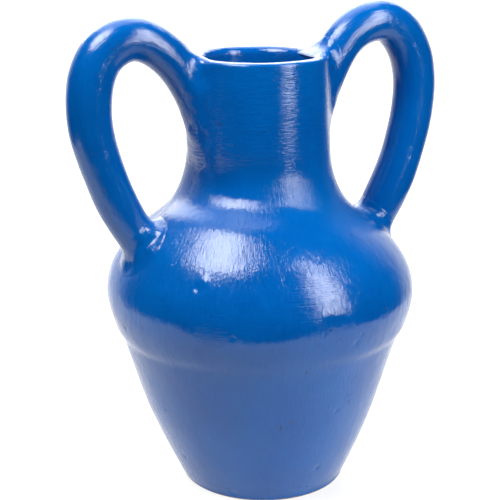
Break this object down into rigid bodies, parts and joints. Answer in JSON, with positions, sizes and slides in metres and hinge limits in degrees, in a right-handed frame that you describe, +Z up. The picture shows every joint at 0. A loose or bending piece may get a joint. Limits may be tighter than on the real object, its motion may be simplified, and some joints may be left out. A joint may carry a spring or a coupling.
{
  "type": "amphora",
  "caption": "Clay amphora with a rounded shoulder, a straight neck with a rolled lip, and thick coil handles that rise above the mouth.",
  "frame": {"origin": "middle of the foot at table height, on the axis of the body", "axes": "+Z up along the axis of the body and neck; the handles lie in the XZ plane, the taller one at +X; +Y completes the right-handed frame"},
  "size_m": [0.3181, 0.247, 0.3888],
  "materials": {
    "glaze": "gloss blue coating brushed over fired clay, with brush marks and small pits",
    "foot": "bare fired clay on the underside, blue coating on the rounded outer edge"
  },
  "bodies": {
    "root": {"floor_slab": "foot", "lower_wall": "glaze", "shoulder": "glaze", "neck": "glaze", "lip": "glaze", "handle_left": "glaze", "handle_right": "glaze", "lute_left_neck": "glaze", "lute_left_shoulder": "glaze", "lute_right_neck": "glaze", "lute_right_shoulder": "glaze"}
  },
  "joints": []
}
